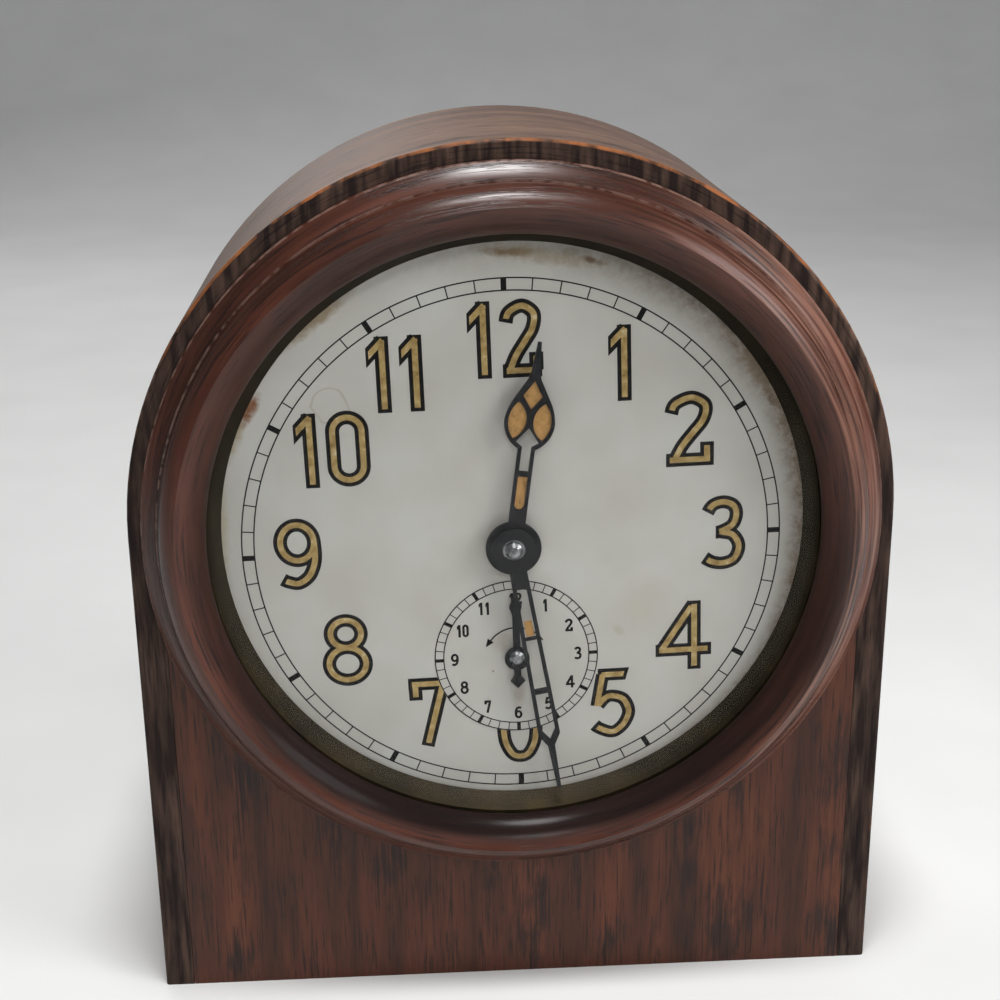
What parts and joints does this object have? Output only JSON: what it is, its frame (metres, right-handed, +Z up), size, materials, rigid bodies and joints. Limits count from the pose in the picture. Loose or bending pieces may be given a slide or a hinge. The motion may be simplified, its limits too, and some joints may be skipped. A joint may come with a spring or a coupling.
{
  "type": "beehive shelf clock",
  "caption": "Round-arched oak shelf clock with a turned bezel, painted dial, cathedral hands and an alarm subdial over a spring-driven movement with bell and back door.",
  "frame": {"origin": "middle of the case's underside, on the shelf, midway between the case's front and back", "axes": "+Z up, -Y out of the dial towards the viewer, +X to the right seen from the front"},
  "size_m": [0.152, 0.0826, 0.178],
  "materials": {
    "oak": "dark red-brown stain under glossy shellac",
    "brass": "lacquered, dulled with age",
    "aged_brass": "tarnished olive brown",
    "steel": "plain polished",
    "black_steel": "blackened",
    "spring_steel": "blue-grey tempered",
    "nickel": "nickel plated",
    "dial_paint": "matt grey white, stained",
    "glass": "clear, convex"
  },
  "bodies": {
    "case": {"case_shell": "oak", "front_board": "oak", "base_board": "oak", "bezel_ring": "oak", "glass": "glass", "sight_ring": "aged_brass", "dial_plate": "dial_paint", "back_frame": "oak", "case_hinge_halves": "brass", "front_plate": "brass", "back_plate": "brass", "pillars": "brass", "pillar_nuts": "steel", "movement_screws": "steel", "click_studs": "steel", "balance_screws": "steel", "hairspring": "spring_steel", "bell": "nickel", "bell_post": "steel"},
    "door": {"back_door": "oak", "door_hinge_halves": "brass", "door_knob": "brass"},
    "minute": {"minute_hand": "black_steel", "cannon_pinion": "brass", "hand_nut": "brass"},
    "hour": {"hour_hand": "black_steel", "hour_wheel": "brass"},
    "minute_wheel": {"minute_wheel": "brass", "set_arbor": "steel", "set_knob": "brass"},
    "alarm_wheel": {"alarm_wheel": "brass"},
    "alarm_setting": {"alarm_hand": "black_steel", "alarm_set_arbor": "steel", "alarm_knob": "brass"},
    "fourth": {"fourth_wheel": "brass", "fourth_arbor": "steel"},
    "escape": {"escape_wheel": "brass", "escape_arbor": "steel"},
    "third": {"third_wheel": "brass", "third_arbor": "steel"},
    "centre": {"centre_wheel": "brass", "centre_arbor": "steel"},
    "time_barrel": {"time_barrel": "brass", "time_mainspring": "spring_steel"},
    "time_winder": {"time_winding_arbor": "steel", "time_key": "brass"},
    "time_click": {"time_click": "steel"},
    "alarm_barrel": {"alarm_barrel": "brass", "alarm_mainspring": "spring_steel"},
    "alarm_winder": {"alarm_winding_arbor": "steel", "alarm_key": "brass"},
    "alarm_click": {"alarm_click": "steel"},
    "alarm_escape": {"alarm_escape_wheel": "brass", "alarm_escape_arbor": "steel"},
    "hammer": {"hammer": "steel", "hammer_verge": "steel"},
    "balance": {"balance_wheel": "brass", "balance_staff": "steel"},
    "lever": {"pallet_lever": "steel"},
    "regulator": {"regulator": "steel"}
  },
  "joints": [
    {"name": "door_swing", "type": "hinge", "parent": "case", "child": "door", "pos_m": [0.0697, 0.0338, 0.0575], "axis": [0, 0, -1], "range_deg": [0, 110]},
    {"name": "hands_set", "type": "hinge", "parent": "case", "child": "minute", "pos_m": [-0.0004, 0, 0.0981], "axis": [0, 1, 0], "continuous": true},
    {"name": "hour_spin", "type": "hinge", "parent": "case", "child": "hour", "pos_m": [-0.0004, 0, 0.0981], "axis": [0, 1, 0], "continuous": true},
    {"name": "minute_wheel_spin", "type": "hinge", "parent": "case", "child": "minute_wheel", "pos_m": [0.00935, 0, 0.11129], "axis": [0, 1, 0], "continuous": true},
    {"name": "alarm_wheel_spin", "type": "hinge", "parent": "case", "child": "alarm_wheel", "pos_m": [0.00025, 0, 0.07351], "axis": [0, 1, 0], "continuous": true},
    {"name": "alarm_set", "type": "hinge", "parent": "case", "child": "alarm_setting", "pos_m": [0.00025, 0, 0.07351], "axis": [0, 1, 0], "continuous": true},
    {"name": "fourth_spin", "type": "hinge", "parent": "case", "child": "fourth", "pos_m": [-0.00384, 0, 0.11342], "axis": [0, 1, 0], "continuous": true},
    {"name": "escape_spin", "type": "hinge", "parent": "case", "child": "escape", "pos_m": [0.00321, 0, 0.1223], "axis": [0, 1, 0], "continuous": true},
    {"name": "third_spin", "type": "hinge", "parent": "case", "child": "third", "pos_m": [-0.01227, 0, 0.10454], "axis": [0, 1, 0], "continuous": true},
    {"name": "centre_spin", "type": "hinge", "parent": "case", "child": "centre", "pos_m": [-0.0004, 0, 0.0981], "axis": [0, 1, 0], "continuous": true},
    {"name": "time_barrel_spin", "type": "hinge", "parent": "case", "child": "time_barrel", "pos_m": [0.01667, 0, 0.09239], "axis": [0, 1, 0], "continuous": true},
    {"name": "time_wind", "type": "hinge", "parent": "case", "child": "time_winder", "pos_m": [0.01667, 0, 0.09239], "axis": [0, 1, 0], "continuous": true},
    {"name": "time_click_lift", "type": "hinge", "parent": "case", "child": "time_click", "pos_m": [0.02465, 0, 0.10059], "axis": [0, -1, 0], "range_deg": [0, 12], "stiffness_Nm_per_rad": 0.0005, "springref_deg": -11.46},
    {"name": "alarm_barrel_spin", "type": "hinge", "parent": "case", "child": "alarm_barrel", "pos_m": [-0.01976, 0, 0.07358], "axis": [0, 1, 0], "continuous": true},
    {"name": "alarm_wind", "type": "hinge", "parent": "case", "child": "alarm_winder", "pos_m": [-0.01976, 0, 0.07358], "axis": [0, 1, 0], "continuous": true},
    {"name": "alarm_click_lift", "type": "hinge", "parent": "case", "child": "alarm_click", "pos_m": [-0.02773, 0, 0.06538], "axis": [0, -1, 0], "range_deg": [0, 12], "stiffness_Nm_per_rad": 0.0005, "springref_deg": -11.46},
    {"name": "alarm_escape_spin", "type": "hinge", "parent": "case", "child": "alarm_escape", "pos_m": [-0.02504, 0, 0.08697], "axis": [0, 1, 0], "continuous": true},
    {"name": "hammer_swing", "type": "hinge", "parent": "case", "child": "hammer", "pos_m": [-0.03079, 0, 0.09635], "axis": [0, -1, 0], "range_deg": [0, 5]},
    {"name": "balance_swing", "type": "hinge", "parent": "case", "child": "balance", "pos_m": [0.02361, 0, 0.12284], "axis": [0, 1, 0], "range_deg": [-25, 25], "stiffness_Nm_per_rad": 0.00003},
    {"name": "lever_rock", "type": "hinge", "parent": "case", "child": "lever", "pos_m": [0.01201, 0, 0.12253], "axis": [0, 1, 0], "range_deg": [-7, 7]},
    {"name": "regulator_turn", "type": "hinge", "parent": "case", "child": "regulator", "pos_m": [0.02361, 0, 0.12284], "axis": [0, 1, 0], "range_deg": [-15, 15]}
  ],
  "couplings": [
    {"joint": "hour_spin", "follows": "hands_set", "ratio": 0.083333},
    {"joint": "minute_wheel_spin", "follows": "hands_set", "ratio": -0.25},
    {"joint": "alarm_wheel_spin", "follows": "hands_set", "ratio": -0.083333},
    {"joint": "escape_spin", "follows": "fourth_spin", "ratio": -8},
    {"joint": "third_spin", "follows": "fourth_spin", "ratio": -0.13333},
    {"joint": "centre_spin", "follows": "fourth_spin", "ratio": 0.016667},
    {"joint": "time_barrel_spin", "follows": "fourth_spin", "ratio": -0.0018519},
    {"joint": "alarm_escape_spin", "follows": "alarm_barrel_spin", "ratio": -7},
    {"joint": "lever_rock", "follows": "balance_swing", "ratio": -0.27}
  ]
}
